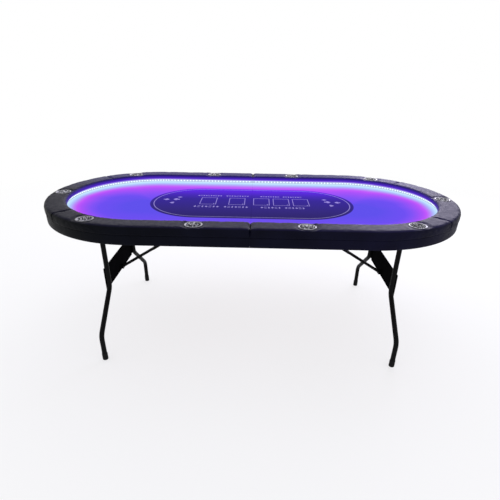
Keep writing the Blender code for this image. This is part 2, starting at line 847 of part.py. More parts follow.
def build_controller():
    """The box that drives the lighting: a power inlet at its end and one push button below."""
    x, y = BOX_CENTRE
    length, width, height = BOX_SIZE
    bottom = UNDERSIDE - height
    case = box(
        "led_controller",
        (x - length / 2, y - width / 2, bottom),
        (x + length / 2, y + width / 2, UNDERSIDE),
        "box_plastic",
    )
    button_z = bottom - BUTTON_PROUD
    pocket_top = bottom + POCKET_FLOOR + BUTTON_TRAVEL
    well_ends = ((x, y, bottom - BORE_OVERRUN), (x, y, pocket_top))
    well = rod("button_well", *well_ends, BUTTON_R + BUTTON_GAP, None, sides=24)
    inlet_z = bottom + height / 2
    end = x + length / 2
    inlet_ends = ((end - INLET_DEPTH, y, inlet_z), (end + BORE_OVERRUN, y, inlet_z))
    inlet = rod("inlet_hole", *inlet_ends, INLET_R, None)
    cut(case, [well, inlet])
    button_ends = ((x, y, button_z), (x, y, bottom + BUTTON_SEAT))
    button = rod("led_button", *button_ends, BUTTON_R, "button_plastic", sides=24)
    return case, button


# ---------------------------------------------------------------- assembly


def build_right(left_parts):
    """The right half's copy of each left part."""
    return [mirrored(part, part.name.replace("left_", "right_", 1), (1, 0, 0)) for part in left_parts]


def mirror_place(place):
    return Vector((-place.x, place.y, place.z))


def main():
    top = [*build_top(), *build_rails(), *build_brackets()]
    legs = build_legs()
    fork = upper_fork()
    link = lower_link()
    fixed_leaves, turning_leaves = build_hinges()
    case, button = build_controller()

    right_top = build_right(top)
    right_legs = build_right(legs)
    (right_fork,) = build_right([fork])
    (right_link,) = build_right([link])

    left_half = pivot("left_half", (0, 0, 0))
    hang([*top, *fixed_leaves, case], left_half)
    left_leg_pivot = pivot("left_leg_pivot", LEG_PIVOT, left_half)
    hang(legs, left_leg_pivot)
    hang([link], pivot("left_brace_lower_pivot", LINK_PIVOT, left_leg_pivot))
    hang([fork], pivot("left_brace_upper_pivot", FORK_PIVOT, left_half))
    hang([button], pivot("led_button_slide", (*BOX_CENTRE, UNDERSIDE), left_half))

    right_half = pivot("centre_fold", FOLD_PIVOT, left_half)
    hang([*right_top, *turning_leaves], right_half)
    right_leg_pivot = pivot("right_leg_pivot", mirror_place(LEG_PIVOT), right_half)
    hang(right_legs, right_leg_pivot)
    hang([right_link], pivot("right_brace_lower_pivot", mirror_place(LINK_PIVOT), right_leg_pivot))
    hang([right_fork], pivot("right_brace_upper_pivot", mirror_place(FORK_PIVOT), right_half))


main()
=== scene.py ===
"""The looks of a folding lit card table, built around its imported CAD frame.

The left half's pieces are modelled and then mirrored, as the two halves are alike. Metres, +Z up.
"""

import math
import random

import bmesh
import bpy
import numpy as np
from mathutils import Matrix, Vector


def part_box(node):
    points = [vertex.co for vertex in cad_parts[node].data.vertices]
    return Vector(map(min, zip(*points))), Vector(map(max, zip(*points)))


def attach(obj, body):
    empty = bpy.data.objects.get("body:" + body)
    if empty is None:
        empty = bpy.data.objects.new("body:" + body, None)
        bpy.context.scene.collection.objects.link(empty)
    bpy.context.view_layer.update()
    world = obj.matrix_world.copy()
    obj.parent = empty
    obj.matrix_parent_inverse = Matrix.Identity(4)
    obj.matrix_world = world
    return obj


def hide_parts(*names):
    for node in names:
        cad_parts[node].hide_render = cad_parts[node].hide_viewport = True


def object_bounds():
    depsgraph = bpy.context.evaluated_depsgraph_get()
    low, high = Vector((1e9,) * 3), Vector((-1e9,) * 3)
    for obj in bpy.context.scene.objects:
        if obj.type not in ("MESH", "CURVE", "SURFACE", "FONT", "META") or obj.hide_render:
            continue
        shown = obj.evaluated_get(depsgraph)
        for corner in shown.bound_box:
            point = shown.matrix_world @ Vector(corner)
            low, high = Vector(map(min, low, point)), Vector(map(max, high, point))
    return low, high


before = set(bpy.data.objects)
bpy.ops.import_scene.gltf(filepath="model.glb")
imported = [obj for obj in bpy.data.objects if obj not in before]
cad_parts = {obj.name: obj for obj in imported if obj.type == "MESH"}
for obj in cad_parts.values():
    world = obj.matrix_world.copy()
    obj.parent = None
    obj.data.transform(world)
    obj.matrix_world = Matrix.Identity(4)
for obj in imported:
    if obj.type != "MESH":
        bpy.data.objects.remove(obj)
CAD_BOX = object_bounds()
SCENE = bpy.context.scene

# Driving dimensions, from the frame.
END_RADIUS = CAD_BOX[1].y
STRAIGHT = CAD_BOX[1].x - END_RADIUS
HEIGHT = CAD_BOX[1].z
FOLD_GAP = -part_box("left_board")[1].x
CLOTH_LOW, CLOTH_TOP = (corner.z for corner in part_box("left_playing_cloth"))
CLOTH_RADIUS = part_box("left_playing_cloth")[1].y
CLEARANCE = 0.0003
RAIL_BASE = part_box("left_board")[1].z + CLEARANCE
SKIRT_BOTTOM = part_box("left_rail_front")[0].z
LED_LOW, LED_HIGH = (corner.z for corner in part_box("left_led_strip"))

# Rail upholstery.
RAIL_WIDTH = 0.105
RAIL_WALL = END_RADIUS - CLOTH_RADIUS - CLEARANCE
SKIRT_THICKNESS = 0.0065
SKIRT_INSET = 0.0004
HEM = ((0.0022, 0.0006), (0.0008, 0.0025))
GROOVE_LIP = ((0.0006, -0.0012), (0.0022, 0.0))
GROOVE_DROP, GROOVE_MARGIN = 0.0008, 0.0020
CUSHION_MIDDLE = RAIL_BASE + 0.0225
CUSHION_HEART = RAIL_BASE + 0.018
CUSHION_OVERHANG = 0.001
CUSHION_DEPTH = 0.0235
CUSHION_START = -27
FREED_OUTSIDE, FREED_INSIDE = 4, 3
CROWN_DROP = 0.0003
SQUARENESS = 7.0
NOSE_ROUND, NOSE_UNDERCUT = 0.006, 0.0055
SEAM_ANGLE = 45.0
SEAM_GAP = 0.001
SEAM_ROUND = 0.010
FOLD_ROUND = 0.020
ROUND_DEPTH = 0.675
CUSHION_STEP = 0.0055
STATION_STEP = 0.008
RIM_SEAT = HEIGHT - 0.0029
DIP_INNER, DIP_OUTER = 0.043, 0.066
FIRM_REACH = DIP_INNER + 0.003
BORE_RADIUS, BORE_OVERRUN = 0.0350, 0.01
SWELL_CAP = 0.0014
SWELL_FRAMES = 20
SEAM_HOLD = 0.004
PUCKER_HEIGHT, PUCKER_REACH, PUCKER_WAVES = 0.0003, 0.012, 420
GATHER_HEIGHT, GATHER_REACH, GATHERS = 0.0002, 0.010, 17

# Playing cloth: (inset, drop) points of its turned edge, and the rings of its slack top.
CLOTH_EDGE = ((0.0, 0.0012), (0.0004, 0.0004), (0.0014, 0.0))
CLOTH_RINGS = (0.010, 0.030, 0.060, 0.10, 0.15, 0.20, 0.26, 0.32, 0.38, 0.43)
CLOTH_SLACK = 0.0002

# Printed layout on the cloth.
PRINT_LENGTH, PRINT_WIDTH = 0.543, 0.272
LINE_INSET, LINE_FOLD_GAP = 0.020, 0.001
LINE_WIDTH, BOX_LINE_WIDTH = 0.0042, 0.0034
PRINT_LOW, PRINT_HIGH = CLOTH_TOP - 0.0002, CLOTH_TOP + 0.00025
CARD_LEFTS = (-0.276, -0.122, 0.010, 0.117, 0.223)
CARD_WIDTH = 0.084
CARD_LOW, CARD_HIGH = -0.045, 0.078
PIP_INSET, PIP_RISE, PIP_SIZE = 0.010, 0.012, 0.006
ORNAMENT_RUNS = {"left": [(-0.305, -0.168), (-0.147, -0.016)], "right": [(0.045, 0.155), (0.172, 0.280)]}
ORNAMENT_ROWS = ((0.120, 0.020), (-0.087, 0.026))
SUITS = (
    ("spade", -0.465, 0.030, 0.017),
    ("heart", -0.425, -0.030, 0.015),
    ("club", -0.410, 0.035, 0.018),
    ("diamond", -0.400, 0.078, 0.015),
)

# Lighting.
DIODE_SIZE, DIODE_DEPTH = 0.0050, 0.0016
DIODE_STAND, DIODE_ROUND = 0.0013, 0.0004
DIODE_PITCH = 0.020
TAPE_THICKNESS, TAPE_STEP = 0.0007, 0.03

# Cup holders: bends as (across, up) points from the wall or the rim's edge and the floor or the rim.
CUP_WALL, CUP_METAL = 0.0340, 0.0012
CUP_RINGS = (0.0095, 0.0200)
RING_RISE, RING_HALF_WIDTH = 0.0007, 0.0010
BASE_INSIDE = ((-0.0050, 0.0014), (-0.0025, 0.0035), (-CUP_METAL, 0.0070))
RIM_INSIDE = ((-CUP_METAL, -0.0030), (-0.0004, -0.0012), (0.0010, -0.0003), (0.0030, 0.0))
RIM_EDGE = ((-0.0015, -0.0003), (-0.0003, -0.0010), (-0.0003, -0.0017), (-0.0015, -0.0021))
RIM_BELOW = ((0.0012, -0.0021), (0.0, -0.0035))
BASE_OUTSIDE = ((0.0, 0.0045), (-0.0030, 0.0008), (-0.0060, 0.0))

# Steel parts.
TUBE_RADIUS = 0.0127
LEG_BEND = 0.055
LEG_TOP_DROP = 0.004
SHOULDER_RISE = 0.013
KNEE_HEIGHT = 0.145
WELD_RADIUS, WELD_RIPPLE, WELD_LENGTH = 0.0016, 0.0004, 0.030
WELD_STEPS, WELD_SIDES = 26, 6
WELD_OFFSET, WELD_SINK, WELD_MARGIN = 0.0075, 0.0019, 0.006

# Rubber foot caps, as (inset, rise) points.
SOLE = ((0.0025, 0.0), (0.0006, 0.0012), (0.0, 0.0030), (0.0, 0.0085))
GROOVES, FIRST_GROOVE, GROOVE_PITCH = 5, 0.0095, 0.0045
GROOVE = ((0.0008, 0.0), (0.0008, 0.0010), (0.0, 0.0018), (0.0, 0.0036))
CAP_LIP = ((0.0, -0.004), (0.0004, -0.001))

# Screws: a head's shares of its radius, then each kind's radius, inset and the sheet under it.
HEAD_HEIGHT, CROSS_LENGTH, CROSS_WIDTH, CROSS_DEPTH = 0.55, 0.5, 0.12, 0.0004
FLANGE_SCREW, FLANGE_INSET, FLANGE_SHEET = 0.0042, 0.009, 0.0026
BRACE_SCREW, BRACE_INSET, BRACE_SHEET = 0.0034, 0.005, 0.0021
LEAF_SCREW, LEAF_INSET, LEAF_SHEET = 0.0034, 0.012, 0.0020
HEAD_DOWN = Matrix.Rotation(math.pi, 4, "X")

# Softened edges on CAD nodes: sawn or moulded ones, plates and the button, and brackets.
SAWN_EDGE, PLATE_EDGE, BRACKET_EDGE = 0.0012, 0.0005, 0.0004

# Controller details.
SLOTS, SLOT_PITCH, SLOT_WIDTH = 5, 0.0045, 0.0018
SLOT_INSET, SLOT_MARGIN = 0.012, 0.010
SLOT_BELOW, SLOT_ABOVE = 0.0003, 0.0004
PIN_RADIUS, PIN_LENGTH, PIN_TIP, PIN_SETBACK = 0.0009, 0.0085, 0.0004, 0.0095

rng = random.Random(7)


# ---------------------------------------------------------------- node materials


class Shader:
    """A Principled material with short calls for its node tree."""

    def __init__(self, name, colour, roughness=0.5, metallic=0.0, specular=0.5):
        self.material = bpy.data.materials.new(name)
        self.material.use_nodes = True
        self.tree = self.material.node_tree
        self.bsdf = self.tree.nodes["Principled BSDF"]
        self.set("Base Color", (*colour, 1.0))
        self.set("Roughness", roughness)
        self.set("Metallic", metallic)
        self.set("Specular IOR Level", specular)

    def set(self, socket, value):
        self.bsdf.inputs[socket].default_value = value

    def node(self, kind, links=None, **values):
        made = self.tree.nodes.new(kind)
        for key, value in values.items():
            setattr(made, key, value)
        for socket, source in (links or {}).items():
            self.feed(made.inputs[socket], source)
        return made

    def feed(self, socket, source):
        if isinstance(source, bpy.types.NodeSocket):
            self.tree.links.new(source, socket)
        else:
            socket.default_value = source

    def link(self, source, socket):
        self.tree.links.new(source, self.bsdf.inputs[socket])

    def place(self):
        return self.node("ShaderNodeTexCoord").outputs["Object"]

    def math(self, operation, first, second=0.0):
        return self.node("ShaderNodeMath", {0: first, 1: second}, operation=operation).outputs[0]

    def noise(self, scale, detail=3.0, roughness=0.5, vector=None):
        links = {"Vector": vector or self.place(), "Scale": scale}
        links.update({"Detail": detail, "Roughness": roughness})
        return self.node("ShaderNodeTexNoise", links).outputs["Fac"]

    def cells(self, scale):
        links = {"Vector": self.place(), "Scale": scale}
        return self.node("ShaderNodeTexVoronoi", links, feature="DISTANCE_TO_EDGE").outputs["Distance"]

    def ramp(self, factor, stops, interpolation="EASE"):
        made = self.node("ShaderNodeValToRGB", {"Fac": factor})
        made.color_ramp.interpolation = interpolation
        elements = made.color_ramp.elements
        while len(elements) < len(stops):
            elements.new(0.5)
        for element, (position, colour) in zip(elements, stops):
            element.position = position
            element.color = (*colour, 1.0)
        return made.outputs["Color"]

    def span(self, value, low, high, to_low=0.0, to_high=1.0):
        links = {"Value": value, "From Min": low, "From Max": high, "To Min": to_low, "To Max": to_high}
        return self.node("ShaderNodeMapRange", links, clamp=True).outputs["Result"]

    def mix(self, factor, first, second, blend="MIX"):
        made = self.node("ShaderNodeMix", data_type="RGBA", blend_type=blend)
        self.feed(made.inputs[0], factor)
        for index, colour in ((6, first), (7, second)):
            self.feed(made.inputs[index], colour if not isinstance(colour, tuple) else (*colour, 1.0))
        return made.outputs[2]

    def bump(self, height, strength, distance):
        links = {"Height": height, "Strength": strength, "Distance": distance}
        if self.bsdf.inputs["Normal"].is_linked:
            links["Normal"] = self.bsdf.inputs["Normal"].links[0].from_socket
        self.link(self.node("ShaderNodeBump", links).outputs["Normal"], "Normal")

    def stadium_radius(self, straight=STRAIGHT):
        """How far a point is from a racetrack's middle line, and the point's own coordinates."""
        split = self.node("ShaderNodeSeparateXYZ", {"Vector": self.place()})
        length = self.math("ABSOLUTE", split.outputs[0])
        beyond = self.math("MAXIMUM", self.math("SUBTRACT", length, straight))
        across = self.math("MULTIPLY", split.outputs[1], split.outputs[1])
        along = self.math("MULTIPLY", beyond, beyond)
        return self.math("SQRT", self.math("ADD", across, along)), split


def vinyl_material():
    """Black vinyl with a leather grain, with painted light: a base colour that turns lighter and more violet
    to the right, and painted glow on its inner and upper faces.
    """
    s = Shader("grained_vinyl", (0.004, 0.004, 0.006), 0.5, specular=0.045)
    radius, split = s.stadium_radius()
    # Painted light: the base colour turns lighter and more violet towards the right, where a lamp lights the
    # rail; the noise patches are random tone.
    right = s.span(split.outputs[0], -0.9, 0.9)
    tone = s.mix(right, (0.0012, 0.0020, 0.0030), (0.0048, 0.0044, 0.0200))
    patches = s.ramp(s.noise(9.0, 4.0), [(0.3, (0.6, 0.6, 0.6)), (0.7, (1.0, 1.0, 1.0))], "LINEAR")
    s.link(s.mix(1.0, tone, patches, "MULTIPLY"), "Base Color")
    s.link(s.span(s.noise(60.0, 3.0), 0.3, 0.7, 0.44, 0.56), "Roughness")
    s.bump(s.cells(900.0), 0.30, 0.0004)
    s.bump(s.noise(1500.0, 2.0), 0.15, 0.0002)
    s.bump(s.noise(14.0, 2.0), 0.25, 0.0015)
    # Painted light given off by the vinyl: a violet sheen on its top, stronger to the rear and right, and the
    # strip's blue spill on the faces under the nose.
    rear = s.span(split.outputs[1], 0.05, 0.45)
    painted_top_light = s.mix(rear, s.mix(right, (0.002, 0.001, 0.009), (0.005, 0.003, 0.026)), (0.006, 0.001, 0.095))
    top = s.span(split.outputs[2], HEIGHT - 0.006, HEIGHT - 0.001)
    nose = END_RADIUS - RAIL_WIDTH
    inner = s.span(radius, nose + 0.019, nose + 0.004)
    low = s.span(split.outputs[2], HEIGHT + 0.001, HEIGHT - 0.012)
    glow = s.math("MULTIPLY", s.math("MULTIPLY", inner, low), s.span(split.outputs[1], -0.30, 0.20, 0.4, 1.0))
    spill = s.ramp(
        s.span(split.outputs[2], HEIGHT - 0.025, HEIGHT),
        [
            (0.00, (0.46, 0.36, 0.95)),
            (0.14, (0.26, 0.12, 0.80)),
            (0.25, (0.07, 0.018, 0.52)),
            (1.00, (0.03, 0.008, 0.30)),
        ],
        "LINEAR",
    )
    s.link(s.mix(glow, s.mix(top, (0.0, 0.0, 0.0), painted_top_light), spill), "Emission Color")
    s.set("Emission Strength", 1.0)
    return s.material


def cloth_material():
    """Speed cloth: a tight weave, lit from the edge, with the printed field in the middle."""
    ground, field_ground = (0.012, 0.010, 0.045), (0.006, 0.006, 0.018)
    thread_pitch = 0.0009
    s = Shader("speed_cloth", ground, 0.85, specular=0.0)
    radius, split = s.stadium_radius()
    from_wall = s.math("SUBTRACT", CLOTH_RADIUS, radius)
    wander = s.math("MULTIPLY", s.math("SUBTRACT", s.noise(3.0, 2.0), 0.5), 0.016)
    rearward = s.math("DIVIDE", split.outputs[1], radius)
    # The strip's light dies away fastest at the front, where the lamps face the other way.
    fall = s.math("MULTIPLY", s.span(rearward, -0.9, -0.1, 1.6, 1.0), s.span(rearward, 0.15, 0.85, 2.0, 1.0))
    depth = s.span(s.math("MULTIPLY", s.math("ADD", from_wall, wander), fall), 0.0, 0.80)
    lit = s.ramp(
        depth,
        [
            (0.000, (0.62, 0.86, 0.98)),
            (0.045, (0.50, 0.74, 0.96)),
            (0.088, (0.42, 0.48, 0.93)),
            (0.130, (0.49, 0.23, 0.90)),
            (0.178, (0.53, 0.09, 0.92)),
            (0.235, (0.40, 0.075, 0.90)),
            (0.310, (0.30, 0.075, 0.88)),
            (0.400, (0.21, 0.075, 0.87)),
            (0.520, (0.145, 0.068, 0.84)),
            (1.000, (0.105, 0.070, 0.79)),
        ],
        "LINEAR",
    )
    print_radius, _ = s.stadium_radius(PRINT_LENGTH - PRINT_WIDTH)
    field = s.span(print_radius, PRINT_WIDTH + 0.002, PRINT_WIDTH - 0.002)
    rear = s.span(split.outputs[1], -PRINT_WIDTH, PRINT_WIDTH)
    field_lit = s.ramp(
        rear,
        [
            (0.00, (0.023, 0.013, 0.120)),
            (0.25, (0.030, 0.017, 0.190)),
            (0.60, (0.036, 0.017, 0.300)),
            (0.75, (0.060, 0.018, 0.470)),
            (0.88, (0.095, 0.018, 0.700)),
            (1.00, (0.125, 0.022, 0.820)),
        ],
        "LINEAR",
    )
    s.link(s.mix(field, lit, field_lit), "Emission Color")
    s.set("Emission Strength", 1.0)
    s.link(s.mix(field, ground, field_ground), "Base Color")
    for axis in (0, 1):
        thread = s.math("SINE", s.math("MULTIPLY", split.outputs[axis], 2 * math.pi / thread_pitch))
        s.bump(thread, 0.25, 0.0001)
    s.bump(s.noise(5.0, 2.0), 0.10, 0.0015)
    return s.material


def print_material():
    s = Shader("print_ink", (0.10, 0.09, 0.13), 0.8, specular=0.0)
    fade = s.noise(220.0, 4.0)
    across = s.node("ShaderNodeSeparateXYZ", {"Vector": s.place()}).outputs[1]
    rear = s.span(across, -PRINT_WIDTH, PRINT_WIDTH)
    # Painted light: the ink's colour is given off as glow, brighter towards the rear where the strip lights
    # it; the fade noise mixes in worn patches of ink.
    lit_ink = s.mix(rear, (0.16, 0.14, 0.34), (0.36, 0.26, 0.85))
    lit_worn_ink = s.mix(rear, (0.06, 0.05, 0.20), (0.18, 0.10, 0.75))
    s.link(s.mix(s.span(fade, 0.3, 0.6), lit_worn_ink, lit_ink), "Emission Color")
    s.set("Emission Strength", 1.0)
    s.bump(fade, 0.2, 0.0002)
    return s.material


def steel_material(name, colour, roughness, brush):
    s = Shader(name, colour, roughness, 1.0)
    stretched = s.node("ShaderNodeMapping", {"Vector": s.place(), "Scale": brush}).outputs[0]
    lines = s.noise(260.0, 3.0, vector=stretched)
    s.link(s.span(lines, 0.25, 0.75, roughness - 0.06, roughness + 0.12), "Roughness")
    s.link(s.mix(lines, tuple(0.82 * c for c in colour), colour), "Base Color")
    s.bump(lines, 0.12, 0.0001)
    return s.material


def cup_material():
    """Spun steel, smoother on the rim, duller and marked inside."""
    s = Shader("cup_steel", (0.70, 0.70, 0.73), 0.24, 1.0)
    height = s.node("ShaderNodeSeparateXYZ", {"Vector": s.place()}).outputs[2]
    rim = s.span(height, HEIGHT - 0.0032, HEIGHT - 0.0022)
    marks = s.noise(170.0, 3.0, 0.6)
    stops = [(0.40, (0.07, 0.07, 0.08)), (0.50, (0.22, 0.22, 0.25)), (0.58, (0.80, 0.80, 0.85))]
    inside = s.ramp(marks, stops)
    s.link(s.mix(rim, inside, (0.16, 0.16, 0.175)), "Base Color")
    s.link(s.span(rim, 0.0, 1.0, 0.48, 0.34), "Roughness")
    s.bump(marks, 0.25, 0.0003)
    return s.material


def powder_material(name, specular):
    colour = (0.0022, 0.0022, 0.0026)
    s = Shader(name, colour, 0.45, specular=specular)
    s.link(s.span(s.noise(90.0, 4.0), 0.3, 0.7, 0.37, 0.57), "Roughness")
    s.link(s.mix(s.noise(25.0, 3.0), colour, tuple(2.0 * c for c in colour)), "Base Color")
    s.bump(s.noise(1800.0, 2.0), 0.25, 0.0002)
    s.bump(s.noise(380.0, 3.0), 0.12, 0.0003)
    return s.material


def wood_material(name, pale, dark, scale):
    s = Shader(name, pale, 0.7, specular=0.25)
    grain = s.node("ShaderNodeMapping", {"Vector": s.place(), "Scale": scale}).outputs[0]
    bands = s.noise(6.0, 6.0, 0.6, vector=grain)
    pores = s.noise(60.0, 4.0, vector=grain)
    tone = s.mix(s.span(bands, 0.35, 0.65), dark, pale)
    s.link(s.mix(s.span(pores, 0.55, 0.75, 0.0, 0.5), tone, tuple(0.5 * c for c in dark)), "Base Color")
    s.bump(pores, 0.3, 0.0003)
    return s.material


def moulded_material(name, colour, roughness, grain=1100.0):
    s = Shader(name, colour, roughness, specular=0.12)
    s.link(s.span(s.noise(70.0, 3.0), 0.3, 0.7, roughness - 0.07, roughness + 0.10), "Roughness")
    s.bump(s.noise(grain, 2.0), 0.25, 0.0003)
    return s.material


def glow_material(name, colour, strength):
    s = Shader(name, (0.10, 0.12, 0.14), 0.35, specular=0.1)
    s.link(s.mix(s.noise(120.0, 2.0), tuple(0.8 * c for c in colour), colour), "Emission Color")
    s.set("Emission Strength", strength)
    s.bump(s.noise(400.0, 2.0), 0.1, 0.0003)
    return s.material


PAINT = {
    "vinyl": vinyl_material(),
    "cloth": cloth_material(),
    "lit_ink": print_material(),
    "cup": cup_material(),
    "zinc": steel_material("hinge_zinc", (0.55, 0.55, 0.57), 0.36, (1.0, 8.0, 1.0)),
    "powder": powder_material("black_powder_coat", 0.06),
    # The cross plate's copy of the black powder coat has no specular reflection, so it reads darker than the
    # legs: painted shade.
    "plate": powder_material("plate_coat_painted_shade", 0.0),
    "ply": wood_material("birch_ply", (0.42, 0.29, 0.17), (0.26, 0.16, 0.085), (1.2, 12.0, 12.0)),
    "edge_ply": wood_material("ply_edges", (0.36, 0.25, 0.15), (0.16, 0.10, 0.055), (2.0, 2.0, 90.0)),
    "rubber": moulded_material("foot_rubber", (0.0035, 0.0035, 0.004), 0.62),
    "plastic": moulded_material("box_plastic", (0.020, 0.020, 0.022), 0.48),
    "button": moulded_material("button_plastic", (0.75, 0.75, 0.76), 0.35, 600.0),
    "tape": glow_material("led_tape", (0.66, 0.80, 1.0), 0.85),
    "diode": glow_material("led_diodes", (0.85, 0.95, 1.0), 1.8),
}


# ---------------------------------------------------------------- building helpers


def mesh_piece(name, bm, paint, smooth_angle=35.0):
    mesh = bpy.data.meshes.new(name)
    bmesh.ops.recalc_face_normals(bm, faces=bm.faces)
    bm.to_mesh(mesh)
    bm.free()
    mesh.materials.append(PAINT[paint])
    mesh.shade_smooth()
    mesh.set_sharp_from_angle(angle=math.radians(smooth_angle))
    obj = bpy.data.objects.new(name, mesh)
    SCENE.collection.objects.link(obj)
    return obj


def baked(obj):
    """Swaps obj's mesh for the one that its modifiers make."""
    bpy.context.view_layer.update()
    graph = bpy.context.evaluated_depsgraph_get()
    mesh = bpy.data.meshes.new_from_object(obj.evaluated_get(graph))
    obj.modifiers.clear()
    obj.data = mesh
    return obj


def mirrored(obj, name, flip_x, flip_y):
    mesh = obj.data.copy()
    mesh.name = name
    mesh.transform(Matrix.Diagonal((-1.0 if flip_x else 1.0, -1.0 if flip_y else 1.0, 1.0, 1.0)))
    if flip_x != flip_y:
        mesh.flip_normals()
    copy = bpy.data.objects.new(name, mesh)
    SCENE.collection.objects.link(copy)
    return copy


def lathe(bm, section, place, steps=48, turn=None):
    """Adds a closed solid of revolution whose (radius, height) points start and end on the axis."""
    matrix = Matrix.Translation(place) @ (turn or Matrix.Identity(4))
    rings = []
    for radius, height in section:
        if radius < 1e-7:
            rings.append([bm.verts.new(matrix @ Vector((0, 0, height)))])
            continue
        angles = [2 * math.pi * i / steps for i in range(steps)]
        ring = [(radius * math.cos(a), radius * math.sin(a), height) for a in angles]
        rings.append([bm.verts.new(matrix @ Vector(p)) for p in ring])
    for low, high in zip(rings, rings[1:]):
        for i in range(steps):
            j = (i + 1) % steps
            quad = [low[i % len(low)], low[j % len(low)], high[j % len(high)], high[i % len(high)]]
            bm.faces.new(list(dict.fromkeys(quad)))


def skinned(bm, rings, closed=False):
    """Skins a row of point rings, and caps its ends unless the row closes on itself."""
    pairs = list(zip(rings, rings[1:])) + ([(rings[-1], rings[0])] if closed else [])
    for ring, following in pairs:
        for i in range(len(ring)):
            bm.faces.new((ring[i - 1], ring[i], following[i], following[i - 1]))
    if not closed:
        bm.faces.new(rings[0])
        bm.faces.new(rings[-1])


def block(bm, low, high):
    low, high = Vector(low), Vector(high)
    matrix = Matrix.Translation((low + high) / 2) @ Matrix.Diagonal((*(high - low), 1.0))
    bmesh.ops.create_cube(bm, size=1.0, matrix=matrix)


def edge_point(turn, inset=0.0, shift=0.0):
    """A point inside the left half's edge: turn 0 is the front, 90 the far left, 180 the rear."""
    radius = END_RADIUS - inset
    a = math.radians(turn)
    return (-STRAIGHT - radius * math.sin(a) + shift, -radius * math.cos(a))


def edge_stations(start, end, step, from_fold=False, to_fold=False):
    """(turn, shift) stations round the left half, about a step apart at the outer edge."""
    arc = math.radians(end - start) * END_RADIUS
    steps = max(1, round(arc / step))
    path = [(start + (end - start) * i / steps, 0.0) for i in range(steps + 1)]
    run = STRAIGHT - FOLD_GAP
    runs = round(run / step)
    straight = [run * i / runs for i in range(runs, 0, -1)]
    if from_fold:
        path = [(0.0, shift) for shift in straight] + path
    if to_fold:
        path = path + [(180.0, shift) for shift in reversed(straight)]
    return path


def refined(path):
    """Adds closer stations at both ends of a path, where the skin turns down."""

    def between(a, b, shares):
        return [tuple(p + (q - p) * t for p, q in zip(a, b)) for t in shares]

    first = between(path[0], path[1], (0.15, 0.40, 0.70))
    last = between(path[-2], path[-1], (0.30, 0.60, 0.85))
    return [path[0], *first, *path[1:-1], *last, path[-1]]


def ride_both(obj, name, replaces=(), body="half"):
    """Puts obj on the left half or legs, and its mirror image on the right ones."""
    obj.name = f"left_{name}"
    other = mirrored(obj, f"right_{name}", True, False)
    for side, piece in (("left", obj), ("right", other)):
        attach(piece, f"{side}_{body}")
        if replaces:
            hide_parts(*[f"{side}_{node}" for node in replaces])
    return obj, other


# ---------------------------------------------------------------- padded rail


def cup_places():
    """Each left cup holder's centre, from the frame."""
    places = {}
    for key in ("front_inner", "front_outer", "end", "rear_outer", "rear_inner"):
        low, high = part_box(f"left_cup_{key}")
        places[key] = ((low.x + high.x) / 2, (low.y + high.y) / 2)
    return places


CUPS = cup_places()


def cushion_curve():
    """The cushion's skin from the groove above the skirt, over the top, to the nose's underside."""
    centre_u, half_width = (RAIL_WIDTH - CUSHION_OVERHANG) / 2, (RAIL_WIDTH + CUSHION_OVERHANG) / 2
    crown = HEIGHT - CROWN_DROP - CUSHION_MIDDLE
    power = 2 / SQUARENESS
    points = []
    for degrees in np.linspace(CUSHION_START, 180, 400):
        a = math.radians(degrees)
        side, rise = math.cos(a), math.sin(a)
        u = centre_u - half_width * math.copysign(abs(side) ** power, side)
        height = crown if rise > 0 else CUSHION_DEPTH
        points.append((u, CUSHION_MIDDLE + height * math.copysign(abs(rise) ** power, rise)))
    for degrees in np.linspace(0, 90, 40)[1:]:
        a = math.radians(degrees)
        u = RAIL_WIDTH - NOSE_ROUND * (1 - math.cos(a))
        points.append((u, CUSHION_MIDDLE - NOSE_UNDERCUT * math.sin(a)))
    return resampled(points, CUSHION_STEP)


def resampled(points, step):
    """Points an equal distance apart along a polyline."""
    p = np.array(points)
    along = np.r_[0, np.cumsum(np.linalg.norm(np.diff(p, axis=0), axis=1))]
    count = max(2, round(along[-1] / step) + 1)
    at = np.linspace(0, along[-1], count)
    return [tuple(q) for q in np.c_[np.interp(at, along, p[:, 0]), np.interp(at, along, p[:, 1])]]


def rail_section():
    """(inset, height, softness) points of the closed rail section."""
    cushion = cushion_curve()
    groove = cushion[0][1] - GROOVE_DROP
    section = [(inset, SKIRT_BOTTOM + rise, 0.0) for inset, rise in HEM]
    tall = groove - GROOVE_MARGIN - SKIRT_BOTTOM
    section += [(SKIRT_INSET, SKIRT_BOTTOM + t * tall, 0.0) for t in (0.25, 0.5, 0.75)]
    section += [(inset, groove + rise, 0.0) for inset, rise in GROOVE_LIP]
    last = len(cushion) - 1
    for i, (u, z) in enumerate(cushion):
        section.append((u, z, min(1.0, i / FREED_OUTSIDE, (last - i) / FREED_INSIDE)))
    nose_low = cushion[-1][1]
    section += [
        (RAIL_WALL, nose_low, 0.0),
        (RAIL_WALL, RAIL_BASE, 0.0),
        (SKIRT_THICKNESS, RAIL_BASE, 0.0),
        (SKIRT_THICKNESS, SKIRT_BOTTOM + HEM[0][1], 0.0),
    ]
    return section


